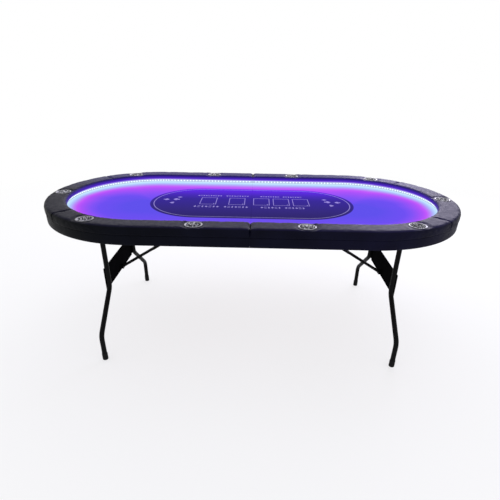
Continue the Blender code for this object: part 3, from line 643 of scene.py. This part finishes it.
def rail_body(name, start, end, from_fold):
    """A rail section with rounded ends and cup seats, each point's softness and its way to a seam."""
    section = rail_section()
    stations = refined(edge_stations(start, end, STATION_STEP, from_fold=from_fold))
    outline = [Vector(edge_point(turn, 0.0, shift)) for turn, shift in stations]
    along = np.r_[0, np.cumsum([(b - a).length for a, b in zip(outline, outline[1:])])]
    bm = bmesh.new()
    rings, soft, seam_near = [], [], []
    for (turn, shift), s in zip(stations, along):
        near = min(s, along[-1] - s)
        sink = 0.0
        for away, reach in ((s, FOLD_ROUND if from_fold else SEAM_ROUND), (along[-1] - s, SEAM_ROUND)):
            if away < reach:
                sink = ROUND_DEPTH * reach * (1 - math.sqrt(1 - (1 - away / reach) ** 2))
        ring = []
        for u, z, softness in section:
            inward = Vector((RAIL_WIDTH / 2 - u, CUSHION_HEART - z)).normalized()
            x, y = edge_point(turn, u + inward.x * sink * softness, shift)
            ring.append(bm.verts.new((x, y, seated(x, y, z + inward.y * sink * softness))))
            soft.append(softness if cup_distance(x, y) > FIRM_REACH else 0.0)
            seam_near.append(near)
        rings.append(ring)
    skinned(bm, rings)
    obj = mesh_piece(name, bm, "vinyl", 50.0)
    return obj, np.array(soft), np.array(seam_near)


def cup_distance(x, y):
    return min(math.hypot(x - cx, y - cy) for cx, cy in CUPS.values())


def seated(x, y, z):
    """Draws the skin down to the rim's seat round a cup holder."""
    t = (cup_distance(x, y) - DIP_INNER) / (DIP_OUTER - DIP_INNER)
    t = min(1.0, max(0.0, t))
    ease = t * t * (3 - 2 * t)
    return z - max(0.0, z - RIM_SEAT) * (1 - ease)


def inflated(obj, soft, seam_near):
    """Runs a cloth simulation on the cushion's skin and keeps a capped share of its swell."""
    mesh = obj.data
    rest = np.empty(len(mesh.vertices) * 3)
    mesh.vertices.foreach_get("co", rest)
    rest = rest.reshape(-1, 3)
    held = 1.0 - np.clip(soft, 0, 1)
    held[seam_near < SEAM_HOLD] = 1.0
    group = obj.vertex_groups.new(name="held")
    for i, weight in enumerate(held):
        group.add([i], float(weight), "REPLACE")
    cloth = obj.modifiers.new("swell", "CLOTH")
    settings = cloth.settings
    settings.quality = 6
    settings.mass = 0.35
    settings.tension_stiffness = 25
    settings.compression_stiffness = 25
    settings.shear_stiffness = 12
    settings.bending_stiffness = 1.5
    settings.use_pressure = True
    settings.uniform_pressure_force = 4.0
    settings.shrink_min = -0.015
    settings.vertex_group_mass = "held"
    settings.effector_weights.gravity = 0.0
    for number in range(1, SWELL_FRAMES + 1):
        SCENE.frame_set(number)
    graph = bpy.context.evaluated_depsgraph_get()
    swollen = obj.evaluated_get(graph).to_mesh()
    made = np.empty(len(swollen.vertices) * 3)
    swollen.vertices.foreach_get("co", made)
    moved = made.reshape(-1, 3) - rest
    far = np.linalg.norm(moved, axis=1, keepdims=True)
    moved *= np.minimum(1.0, SWELL_CAP / np.maximum(far, 1e-9))
    obj.modifiers.clear()
    obj.vertex_groups.clear()
    SCENE.frame_set(1)
    mesh.vertices.foreach_set("co", (rest + moved).ravel())
    mesh.update()


def puckered(obj, soft, seam_near):
    """Small gathers where the skin is pulled into a seam and round a cup holder."""
    for vertex, softness, near in zip(obj.data.vertices, soft, seam_near):
        if softness <= 0:
            continue
        x, y, _ = vertex.co
        pucker = math.exp(-near / PUCKER_REACH) * math.sin(PUCKER_WAVES * (x * 0.8 + y * 0.6))
        beyond = max(0.0, cup_distance(x, y) - DIP_INNER)
        cx, cy = min(CUPS.values(), key=lambda c: math.hypot(x - c[0], y - c[1]))
        gather = math.exp(-beyond / GATHER_REACH) * math.sin(GATHERS * math.atan2(y - cy, x - cx))
        lift = PUCKER_HEIGHT * pucker + GATHER_HEIGHT * gather
        vertex.co += vertex.normal * softness * lift


def bored(obj, keys):
    """Cuts the cup holders' bores through a rail section."""
    for key in keys:
        bm = bmesh.new()
        x, y = CUPS[key]
        low, high = RAIL_BASE - BORE_OVERRUN, HEIGHT + BORE_OVERRUN
        section = [(0, low), (BORE_RADIUS, low), (BORE_RADIUS, high), (0, high)]
        lathe(bm, section, (x, y, 0))
        cutter = mesh_piece(f"bore_{key}", bm, "vinyl")
        modifier = obj.modifiers.new(key, "BOOLEAN")
        modifier.operation = "DIFFERENCE"
        modifier.solver = "EXACT"
        modifier.object = cutter
    baked(obj)
    for key in keys:
        bpy.data.objects.remove(bpy.data.objects[f"bore_{key}"])
    obj.data.shade_smooth()
    obj.data.set_sharp_from_angle(angle=math.radians(50))


def make_rails():
    half_gap = math.degrees(SEAM_GAP / 2 / END_RADIUS)
    first, last = SEAM_ANGLE - half_gap, SEAM_ANGLE + half_gap
    front, *front_skin = rail_body("left_rail_cover_front", 0, first, True)
    end, *end_skin = rail_body("left_rail_cover_end", last, 180 - last, False)
    for obj, skin in ((front, front_skin), (end, end_skin)):
        inflated(obj, *skin)
        puckered(obj, *skin)
    bored(front, ("front_inner", "front_outer"))
    bored(end, ("end",))
    rear = mirrored(front, "left_rail_cover_rear", False, True)
    for obj, part in ((front, "front"), (end, "end"), (rear, "rear")):
        pair = ride_both(obj, f"rail_cover_{part}", [f"rail_{part}"])


# ---------------------------------------------------------------- cloth and its print


def half_stadium(radius, straight, start_x, steps=40):
    """The left half's outline of a racetrack, from the fold's front round to its rear."""
    arc = [math.radians(180 * i / steps) for i in range(steps + 1)]
    points = [(-straight - radius * math.sin(a), -radius * math.cos(a)) for a in arc]
    return [(start_x, -radius), *points, (start_x, radius)]


def make_cloth():
    """The cloth over its thin foam: a slab with its edges turned down, very slightly slack."""
    bm = bmesh.new()
    levels = [(0.0, CLOTH_LOW)] + [(inset, CLOTH_TOP - drop) for inset, drop in CLOTH_EDGE]
    turned = CLOTH_EDGE[-1][0]
    rings = []
    for inset, z in levels + [(inset, CLOTH_TOP) for inset in CLOTH_RINGS]:
        outline = half_stadium(CLOTH_RADIUS - inset, STRAIGHT, -FOLD_GAP - min(inset, turned))
        ring = []
        for x, y in outline:
            slack = CLOTH_SLACK * math.sin(9 * x) * math.sin(8 * y) if inset > turned else 0.0
            ring.append(bm.verts.new((x, y, z + slack)))
        rings.append(ring)
    skinned(bm, rings)
    cloth = mesh_piece("left_cloth", bm, "cloth", 60)
    pair = ride_both(cloth, "cloth", ["playing_cloth"])


def ribbon(bm, points, width, closed=False):
    """Adds a flat printed line along points, lying on the cloth."""
    p = [Vector(q) for q in points]
    count = len(p)
    rows = []
    for i, q in enumerate(p):
        before = p[i - 1] if (i or closed) else q
        after = p[(i + 1) % count] if (i < count - 1 or closed) else q
        first = (q - before).normalized() if (q - before).length > 1e-9 else (after - q).normalized()
        second = (after - q).normalized() if (after - q).length > 1e-9 else first
        normal = Vector((-(first + second).y, (first + second).x)).normalized()
        reach = width / 2 / max(0.5, normal.dot(Vector((-first.y, first.x))))
        a, b = q + normal * reach, q - normal * reach
        corners = ((a, PRINT_LOW), (a, PRINT_HIGH), (b, PRINT_HIGH), (b, PRINT_LOW))
        rows.append([bm.verts.new((*corner, z)) for corner, z in corners])
    skinned(bm, rows, closed)


def flat_shape(bm, outline):
    """Adds a filled printed shape from its outline."""
    bottom = [bm.verts.new((*q, PRINT_LOW)) for q in outline]
    top = [bm.verts.new((*q, PRINT_HIGH)) for q in outline]
    for i in range(len(outline)):
        bm.faces.new((bottom[i - 1], bottom[i], top[i], top[i - 1]))
    bm.faces.new(bottom)
    bm.faces.new(top)


def placed(outline, centre, size, turn):
    """An outline scaled, turned and moved to centre."""
    c, s = math.cos(turn), math.sin(turn)
    return [(centre[0] + size * (c * x - s * y), centre[1] + size * (s * x + c * y)) for x, y in outline]


def heart():
    """The usual heart curve, about two units across."""
    made = []
    for i in range(28):
        t = 2 * math.pi * i / 28
        x = 16 * math.sin(t) ** 3
        y = 13 * math.cos(t) - 5 * math.cos(2 * t) - 2 * math.cos(3 * t) - math.cos(4 * t)
        made.append((x / 17, y / 17))
    return made


def diamond(half_width=0.68):
    return [(0, 1), (half_width, 0), (0, -1), (-half_width, 0)]


def bar(half_width, low, high):
    return [(-half_width, low), (half_width, low), (half_width, high), (-half_width, high)]


def disc(radius):
    turns = [2 * math.pi * i / 14 for i in range(14)]
    return [(radius * math.cos(a), radius * math.sin(a)) for a in turns]


def stalk():
    """The foot of a spade or a club."""
    return [(-0.10, 0.1), (-0.35, -1.0), (0.35, -1.0), (0.10, 0.1)]


def add_suit(bm, suit, centre, size, turn):
    """One generic card suit as printed shapes."""
    if suit == "heart":
        flat_shape(bm, placed(heart(), centre, size, turn))
    elif suit == "diamond":
        flat_shape(bm, placed(diamond(), centre, size, turn))
    elif suit == "spade":
        upturned = [(x * 0.95, -y * 0.85 + 0.15) for x, y in heart()]
        flat_shape(bm, placed(upturned, centre, size, turn))
        flat_shape(bm, placed(stalk(), centre, size, turn))
    else:
        for ox, oy in ((0, 0.5), (-0.5, -0.25), (0.5, -0.25)):
            leaf = [(x * 0.95 + ox, y * 0.95 + oy) for x, y in disc(0.46)]
            flat_shape(bm, placed(leaf, centre, size, turn))
        flat_shape(bm, placed(stalk(), centre, size, turn))


def ornament_row(bm, start, end, y, size):
    """A line of slim lozenges, crossbars and bars, a plain border pattern."""
    pitch = size * 0.66
    count = max(2, int((end - start) / pitch))
    motifs = ([diamond(0.58)], [bar(0.55, 0.55, 0.95), bar(0.55, -0.95, -0.55)], [bar(0.28, -0.95, 0.95)])
    for i in range(count):
        x = start + (i + 0.5) * (end - start) / count
        lean = (rng.random() - 0.5) * 0.2
        for shape in motifs[i % 3]:
            flat_shape(bm, placed(shape, (x, y), size / 2, lean))


def make_print():
    """The white line, card boxes and ornament on each half of the cloth."""
    straight = PRINT_LENGTH - PRINT_WIDTH
    line = half_stadium(PRINT_WIDTH - LINE_INSET, straight, -FOLD_GAP - LINE_FOLD_GAP)
    for side, sign in (("left", 1), ("right", -1)):
        bm = bmesh.new()
        ribbon(bm, [(sign * x, y) for x, y in line], LINE_WIDTH)
        for left in CARD_LEFTS:
            if (left < 0) == (side == "left"):
                corners = [(left, CARD_LOW), (left + CARD_WIDTH, CARD_LOW)]
                corners += [(left + CARD_WIDTH, CARD_HIGH), (left, CARD_HIGH)]
                ribbon(bm, corners, BOX_LINE_WIDTH, closed=True)
                pip = (left + CARD_WIDTH - PIP_INSET, CARD_LOW + PIP_RISE)
                add_suit(bm, "diamond", pip, PIP_SIZE, 0.0)
        for start, end in ORNAMENT_RUNS[side]:
            for y, size in ORNAMENT_ROWS:
                ornament_row(bm, start, end, y, size)
        for suit, x, y, size in SUITS:
            add_suit(bm, suit, (sign * x, y), size, sign * math.radians(-90))
        piece = mesh_piece(f"{side}_layout_print", bm, "lit_ink")
        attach(piece, f"{side}_half")


# ---------------------------------------------------------------- lighting strip


def make_lights():
    """A lit tape stuck round the recess and the row of diodes along it."""
    stations = edge_stations(0, 180, TAPE_STEP, from_fold=True, to_fold=True)
    wall = END_RADIUS - CLOTH_RADIUS
    bm = bmesh.new()
    rings = []
    face = wall + TAPE_THICKNESS
    section = [(wall, LED_LOW), (wall, LED_HIGH), (face, LED_HIGH), (face, LED_LOW)]
    for turn, shift in stations:
        rings.append([bm.verts.new((*edge_point(turn, u, shift), z)) for u, z in section])
    skinned(bm, rings)
    ride_both(mesh_piece("left_light_tape", bm, "tape"), "light_tape", ["led_strip"])

    bm = bmesh.new()
    middle = (LED_LOW + LED_HIGH) / 2
    diodes = edge_stations(0, 180, DIODE_PITCH, from_fold=True, to_fold=True)[1:-1]
    for turn, shift in diodes:
        x, y = edge_point(turn, wall + DIODE_STAND, shift)
        matrix = Matrix.Translation((x, y, middle)) @ Matrix.Rotation(-math.radians(turn), 4, "Z")
        size = Matrix.Diagonal((DIODE_SIZE, DIODE_DEPTH, DIODE_SIZE, 1.0))
        made = bmesh.ops.create_cube(bm, size=1.0, matrix=matrix @ size)
        edges = {e for v in made["verts"] for e in v.link_edges}
        bmesh.ops.bevel(bm, geom=list(edges), offset=DIODE_ROUND, segments=1, affect="EDGES")
    ride_both(mesh_piece("left_light_diodes", bm, "diode"), "light_diodes")


# ---------------------------------------------------------------- cup holders


def cup_section():
    """(radius, height) points of a spun cup, up its inside and down its outside."""
    low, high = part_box("left_cup_end")
    outer = (high.x - low.x) / 2 - CUP_METAL
    base = low.z + CUP_METAL
    section = [(0.0, base)]
    for ring in CUP_RINGS:
        section += [(ring - RING_HALF_WIDTH, base), (ring, base + RING_RISE), (ring + RING_HALF_WIDTH, base)]
    for bend, radius, height in (
        (BASE_INSIDE, CUP_WALL, low.z),
        (RIM_INSIDE, CUP_WALL, high.z),
        (RIM_EDGE, outer, high.z),
        (RIM_BELOW, CUP_WALL, high.z),
        (BASE_OUTSIDE, CUP_WALL, low.z),
    ):
        section += [(radius + across, height + up) for across, up in bend]
    return section + [(0.0, low.z)]


def make_cups():
    """Spun steel cups with a rolled rim and a ringed base."""
    section = cup_section()
    for key, (x, y) in CUPS.items():
        bm = bmesh.new()
        lathe(bm, section, (x, y, 0), 56)
        cup = mesh_piece(f"left_spun_cup_{key}", bm, "cup", 50)
        ride_both(cup, f"spun_cup_{key}", [f"cup_{key}"])


# ---------------------------------------------------------------- legs


def filleted(points, radius, steps=10):
    """A polyline with its inner corners rounded."""
    rounded = [Vector(points[0])]
    for before, corner, after in zip(points, points[1:], points[2:]):
        b, c, a = Vector(before), Vector(corner), Vector(after)
        to_b, to_a = (b - c).normalized(), (a - c).normalized()
        half = to_b.angle(to_a) / 2
        centre = c + (to_b + to_a).normalized() * (radius / math.sin(half))
        reach = radius / math.tan(half)
        start, end = c + to_b * reach - centre, c + to_a * reach - centre
        for i in range(steps + 1):
            rounded.append(centre + start.lerp(end, i / steps).normalized() * radius)
    rounded.append(Vector(points[-1]))
    return rounded


def tube(bm, path, radius, sides=24):
    """Adds a round bar along a path that lies in a plane across X."""
    rings = []
    for i, p in enumerate(path):
        before, after = path[max(0, i - 1)], path[min(len(path) - 1, i + 1)]
        ahead = (after - before).normalized()
        across = Vector((1, 0, 0))
        up = across.cross(ahead).normalized()
        angles = [2 * math.pi * k / sides for k in range(sides)]
        rings.append([bm.verts.new(p + radius * (math.cos(a) * across + math.sin(a) * up)) for a in angles])
    skinned(bm, rings)


def leg_path(sign, x):
    """The bent leg's middle line, worked out from the frame's boxes."""
    low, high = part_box("left_leg_rear")
    neck = low.y + TUBE_RADIUS
    foot = high.y - TUBE_RADIUS
    plate_low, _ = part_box("left_cross_plate")
    shoulder = plate_low.z + SHOULDER_RISE
    corners = [(neck, high.z - LEG_TOP_DROP), (neck, shoulder), (foot, KNEE_HEIGHT), (foot, low.z)]
    path = filleted(corners, LEG_BEND)
    return [Vector((x, sign * p.x, p.y)) for p in path]


def foot_section(radius, top):
    """(radius, height) points of a foot cap with grooves round it."""
    section = [(0.0, 0.0)] + [(radius - inset, rise) for inset, rise in SOLE]
    for i in range(GROOVES):
        z = FIRST_GROOVE + i * GROOVE_PITCH
        section += [(radius - inset, z + rise) for inset, rise in GROOVE]
    section += [(radius - inset, top + rise) for inset, rise in CAP_LIP]
    return section + [(TUBE_RADIUS - 0.0002, top), (0.0, top)]


def weld_bead(bm, start):
    """A rippled bead of weld that runs up from a point."""
    angles = [2 * math.pi * k / WELD_SIDES for k in range(WELD_SIDES)]
    rings = []
    for i in range(WELD_STEPS + 1):
        swell = WELD_RADIUS + WELD_RIPPLE * math.sin(i * 1.9)
        at = start + Vector((0, 0, WELD_LENGTH * i / WELD_STEPS))
        points = [at + Vector((swell * math.cos(a), swell * math.sin(a), 0)) for a in angles]
        rings.append([bm.verts.new(point) for point in points])
    skinned(bm, rings)


def make_legs():
    """The bent leg tubes, their foot caps and the welds on the cross plate."""
    leg_low, leg_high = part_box("left_leg_rear")
    x = (leg_low.x + leg_high.x) / 2
    for tag, sign in (("front", -1), ("rear", 1)):
        bm = bmesh.new()
        tube(bm, leg_path(sign, x), TUBE_RADIUS)
        leg = mesh_piece(f"left_leg_tube_{tag}", bm, "powder")
        ride_both(leg, f"leg_tube_{tag}", [f"leg_{tag}"], "legs")

        low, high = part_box(f"left_foot_{tag}")
        centre = (low + high) / 2
        bm = bmesh.new()
        lathe(bm, foot_section((high.x - low.x) / 2, high.z), (centre.x, centre.y, 0), 32)
        cap = mesh_piece(f"left_foot_cap_{tag}", bm, "rubber")
        ride_both(cap, f"foot_cap_{tag}", [f"foot_{tag}"], "legs")

    plate_low, plate_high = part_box("left_cross_plate")
    neck = leg_low.y + TUBE_RADIUS
    lowest, highest = plate_low.z + WELD_MARGIN, plate_high.z - WELD_MARGIN - WELD_LENGTH
    bm = bmesh.new()
    for sign in (-1, 1):
        for offset in (-WELD_OFFSET, WELD_OFFSET):
            for z in (lowest, highest):
                weld_bead(bm, Vector((x - TUBE_RADIUS + WELD_SINK, sign * neck + offset, z)))
    ride_both(mesh_piece("left_welds", bm, "powder", 60), "welds", (), "legs")


# ---------------------------------------------------------------- fixings and small parts


def screw_head(bm, place, radius):
    """A pan-head screw with a cross on its top, standing down from a face."""
    top = radius * HEAD_HEIGHT
    matrix = Matrix.Translation(place) @ HEAD_DOWN
    dome = [(radius * math.cos(a), top * math.sin(a)) for a in (0.0, 0.5, 0.9, 1.25)]
    lathe(bm, [(0.0, -0.0002), (radius, -0.0002), *dome, (0.0, top)], place, 16, HEAD_DOWN)
    for long, wide in ((CROSS_LENGTH, CROSS_WIDTH), (CROSS_WIDTH, CROSS_LENGTH)):
        size = Matrix.Diagonal((2 * radius * long, 2 * radius * wide, CROSS_DEPTH, 1))
        bmesh.ops.create_cube(bm, size=1.0, matrix=matrix @ Matrix.Translation((0, 0, top)) @ size)


def make_screws():
    """Screws through the brackets' flanges and the hinge leaves."""
    bm = bmesh.new()
    for tag in ("front", "rear"):
        low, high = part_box(f"left_pivot_bracket_{tag}")
        for x in (low.x + FLANGE_INSET, high.x - FLANGE_INSET):
            screw_head(bm, Vector((x, (low.y + high.y) / 2, high.z - FLANGE_SHEET)), FLANGE_SCREW)
        low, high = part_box(f"left_brace_bracket_{tag}")
        for x in (low.x + BRACE_INSET, high.x - BRACE_INSET):
            for y in (low.y + BRACE_INSET, high.y - BRACE_INSET):
                screw_head(bm, Vector((x, y, high.z - BRACE_SHEET)), BRACE_SCREW)
    ride_both(mesh_piece("left_bracket_screws", bm, "zinc"), "bracket_screws")

    bm = bmesh.new()
    for tag in ("front", "rear"):
        low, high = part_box(f"hinge_{tag}_left_leaf")
        for y in np.linspace(low.y + LEAF_INSET, high.y - LEAF_INSET, 3):
            screw_head(bm, Vector((low.x + LEAF_INSET, float(y), high.z - LEAF_SHEET)), LEAF_SCREW)
    ride_both(mesh_piece("left_hinge_screws", bm, "zinc"), "hinge_screws")


def soften(node, width):
    """A small bevel on a CAD node's edges, as a pressed or sawn part has."""
    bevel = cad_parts[node].modifiers.new("soft_edges", "BEVEL")
    bevel.width = width
    bevel.segments = 2
    bevel.limit_method = "ANGLE"
    bevel.angle_limit = math.radians(40)
    bevel.harden_normals = False


def paint_node(node, paint):
    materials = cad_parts[node].data.materials
    materials.clear()
    materials.append(PAINT[paint])


def paint_frame():
    """Materials and softened edges for the CAD nodes that stay in view."""
    for side in ("left", "right"):
        paint_node(f"{side}_board", "ply")
        paint_node(f"{side}_apron", "edge_ply")
        paint_node(f"{side}_fold_batten", "edge_ply")
        soften(f"{side}_fold_batten", SAWN_EDGE)
        for node in ("pivot_tube", "brace_lower", "brace_upper"):
            paint_node(f"{side}_{node}", "powder")
        # The plate gets the unreflecting copy of the powder coat: painted shade.
        paint_node(f"{side}_cross_plate", "plate")
        for node in ("cross_plate", "brace_lower", "brace_upper"):
            soften(f"{side}_{node}", PLATE_EDGE)
        for tag in ("front", "rear"):
            for node in (f"{side}_pivot_bracket_{tag}", f"{side}_brace_bracket_{tag}"):
                paint_node(node, "powder")
                soften(node, BRACKET_EDGE)
            paint_node(f"hinge_{tag}_{side}_leaf", "zinc")
    for tag in ("front", "rear"):
        paint_node(f"hinge_{tag}_pin", "zinc")
    paint_node("led_controller", "plastic")
    soften("led_controller", SAWN_EDGE)
    paint_node("led_button", "button")
    soften("led_button", PLATE_EDGE)


def make_controller_details():
    """Cooling slots, drawn as black strips of painted shade, and the power socket's pin on the controller."""
    low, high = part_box("led_controller")
    bm = bmesh.new()
    # The vent slots are thin black strips standing on the box's underside: painted shade for the openings.
    for i in range(SLOTS):
        x = low.x + SLOT_INSET + i * SLOT_PITCH
        near = (x, low.y + SLOT_MARGIN, low.z - SLOT_BELOW)
        block(bm, near, (x + SLOT_WIDTH, high.y - SLOT_MARGIN, low.z + SLOT_ABOVE))
    slot_shades = mesh_piece("controller_slot_shades", bm, "rubber")
    bm = bmesh.new()
    section = [(0, 0), (PIN_RADIUS, 0), (PIN_RADIUS, PIN_LENGTH - 0.001)]
    section += [(PIN_TIP, PIN_LENGTH), (0, PIN_LENGTH)]
    base = Vector((high.x - PIN_SETBACK, (low.y + high.y) / 2, (low.z + high.z) / 2))
    lathe(bm, section, base, 16, Matrix.Rotation(math.pi / 2, 4, "Y"))
    pin = mesh_piece("controller_socket_pin", bm, "zinc")
    for piece, slot in ((slot_shades, "box_plastic"), (pin, "hinge_steel")):
        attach(piece, "left_half")


# ---------------------------------------------------------------- stage, light and camera


def make_stage():
    """A pale studio floor that runs into a white background."""
    near_tone, near_glow = (0.27, 0.27, 0.28), (0.64, 0.64, 0.65)
    s = Shader("studio_floor", near_tone, 0.55, specular=0.0)
    radius, _ = s.stadium_radius(0.0)
    away = s.span(radius, 1.2, 4.5)
    s.link(s.mix(away, near_glow, (1.0, 1.0, 1.0)), "Emission Color")
    s.set("Emission Strength", 1.0)
    s.link(s.mix(away, near_tone, (0.0, 0.0, 0.0)), "Base Color")
    bm = bmesh.new()
    bmesh.ops.create_circle(bm, cap_ends=True, segments=64, radius=60.0)
    mesh = bpy.data.meshes.new("floor")
    bm.to_mesh(mesh)
    bm.free()
    mesh.materials.append(s.material)
    floor = bpy.data.objects.new("floor", mesh)
    SCENE.collection.objects.link(floor)

    world = bpy.data.worlds.new("studio")
    world.use_nodes = True
    background = world.node_tree.nodes["Background"]
    background.inputs["Color"].default_value = (1.0, 1.0, 1.0, 1.0)
    background.inputs["Strength"].default_value = 1.0
    SCENE.world = world


def make_light(name, place, target, size, power, colour=(1.0, 1.0, 1.0)):
    data = bpy.data.lights.new(name, "AREA")
    data.shape = "RECTANGLE"
    data.size, data.size_y = size
    data.energy = power
    data.color = colour
    light = bpy.data.objects.new(name, data)
    SCENE.collection.objects.link(light)
    light.location = place
    light.rotation_mode = "QUATERNION"
    light.rotation_quaternion = (Vector(target) - Vector(place)).to_track_quat("-Z", "Y")


def make_camera():
    """The photo's camera: in front of the table and above it, its picture plane slightly off centre."""
    place = (0.0216, -2.1639, 1.348)
    pitch, yaw, roll = 0.5082, 0.0134, 0.0166
    data = bpy.data.cameras.new("camera")
    data.sensor_width = 36.0
    data.lens = 29.2896
    data.shift_x, data.shift_y = 0.0024, 0.0926
    camera = bpy.data.objects.new("camera", data)
    SCENE.collection.objects.link(camera)
    forward = Vector((-math.sin(yaw) * math.cos(pitch), math.cos(yaw) * math.cos(pitch), -math.sin(pitch)))
    right = Vector((math.cos(yaw), math.sin(yaw), 0.0))
    up = right.cross(forward)
    level_right = right * math.cos(roll) + up * math.sin(roll)
    level_up = -right * math.sin(roll) + up * math.cos(roll)
    turn = Matrix((level_right, level_up, -forward)).transposed()
    camera.matrix_world = Matrix.Translation(place) @ turn.to_4x4()
    SCENE.camera = camera


SCENE.view_settings.view_transform = "Standard"
make_camera()
make_stage()
make_light("overhead", (0.3, 0.8, 2.9), (0, 0, HEIGHT), (3.0, 1.6), 12.0)
make_light("rear_softbox", (0.0, 3.2, 1.9), (0, 0, HEIGHT), (5.0, 1.6), 42.0, (0.93, 0.89, 1.0))
make_light("right_rear", (2.1, 2.9, 1.7), (0.7, 0, HEIGHT), (1.8, 0.8), 46.0, (0.85, 0.80, 1.0))
paint_frame()
make_rails()
make_cloth()
make_print()
make_lights()
make_cups()
make_legs()
make_screws()
make_controller_details()

bpy.context.view_layer.update()
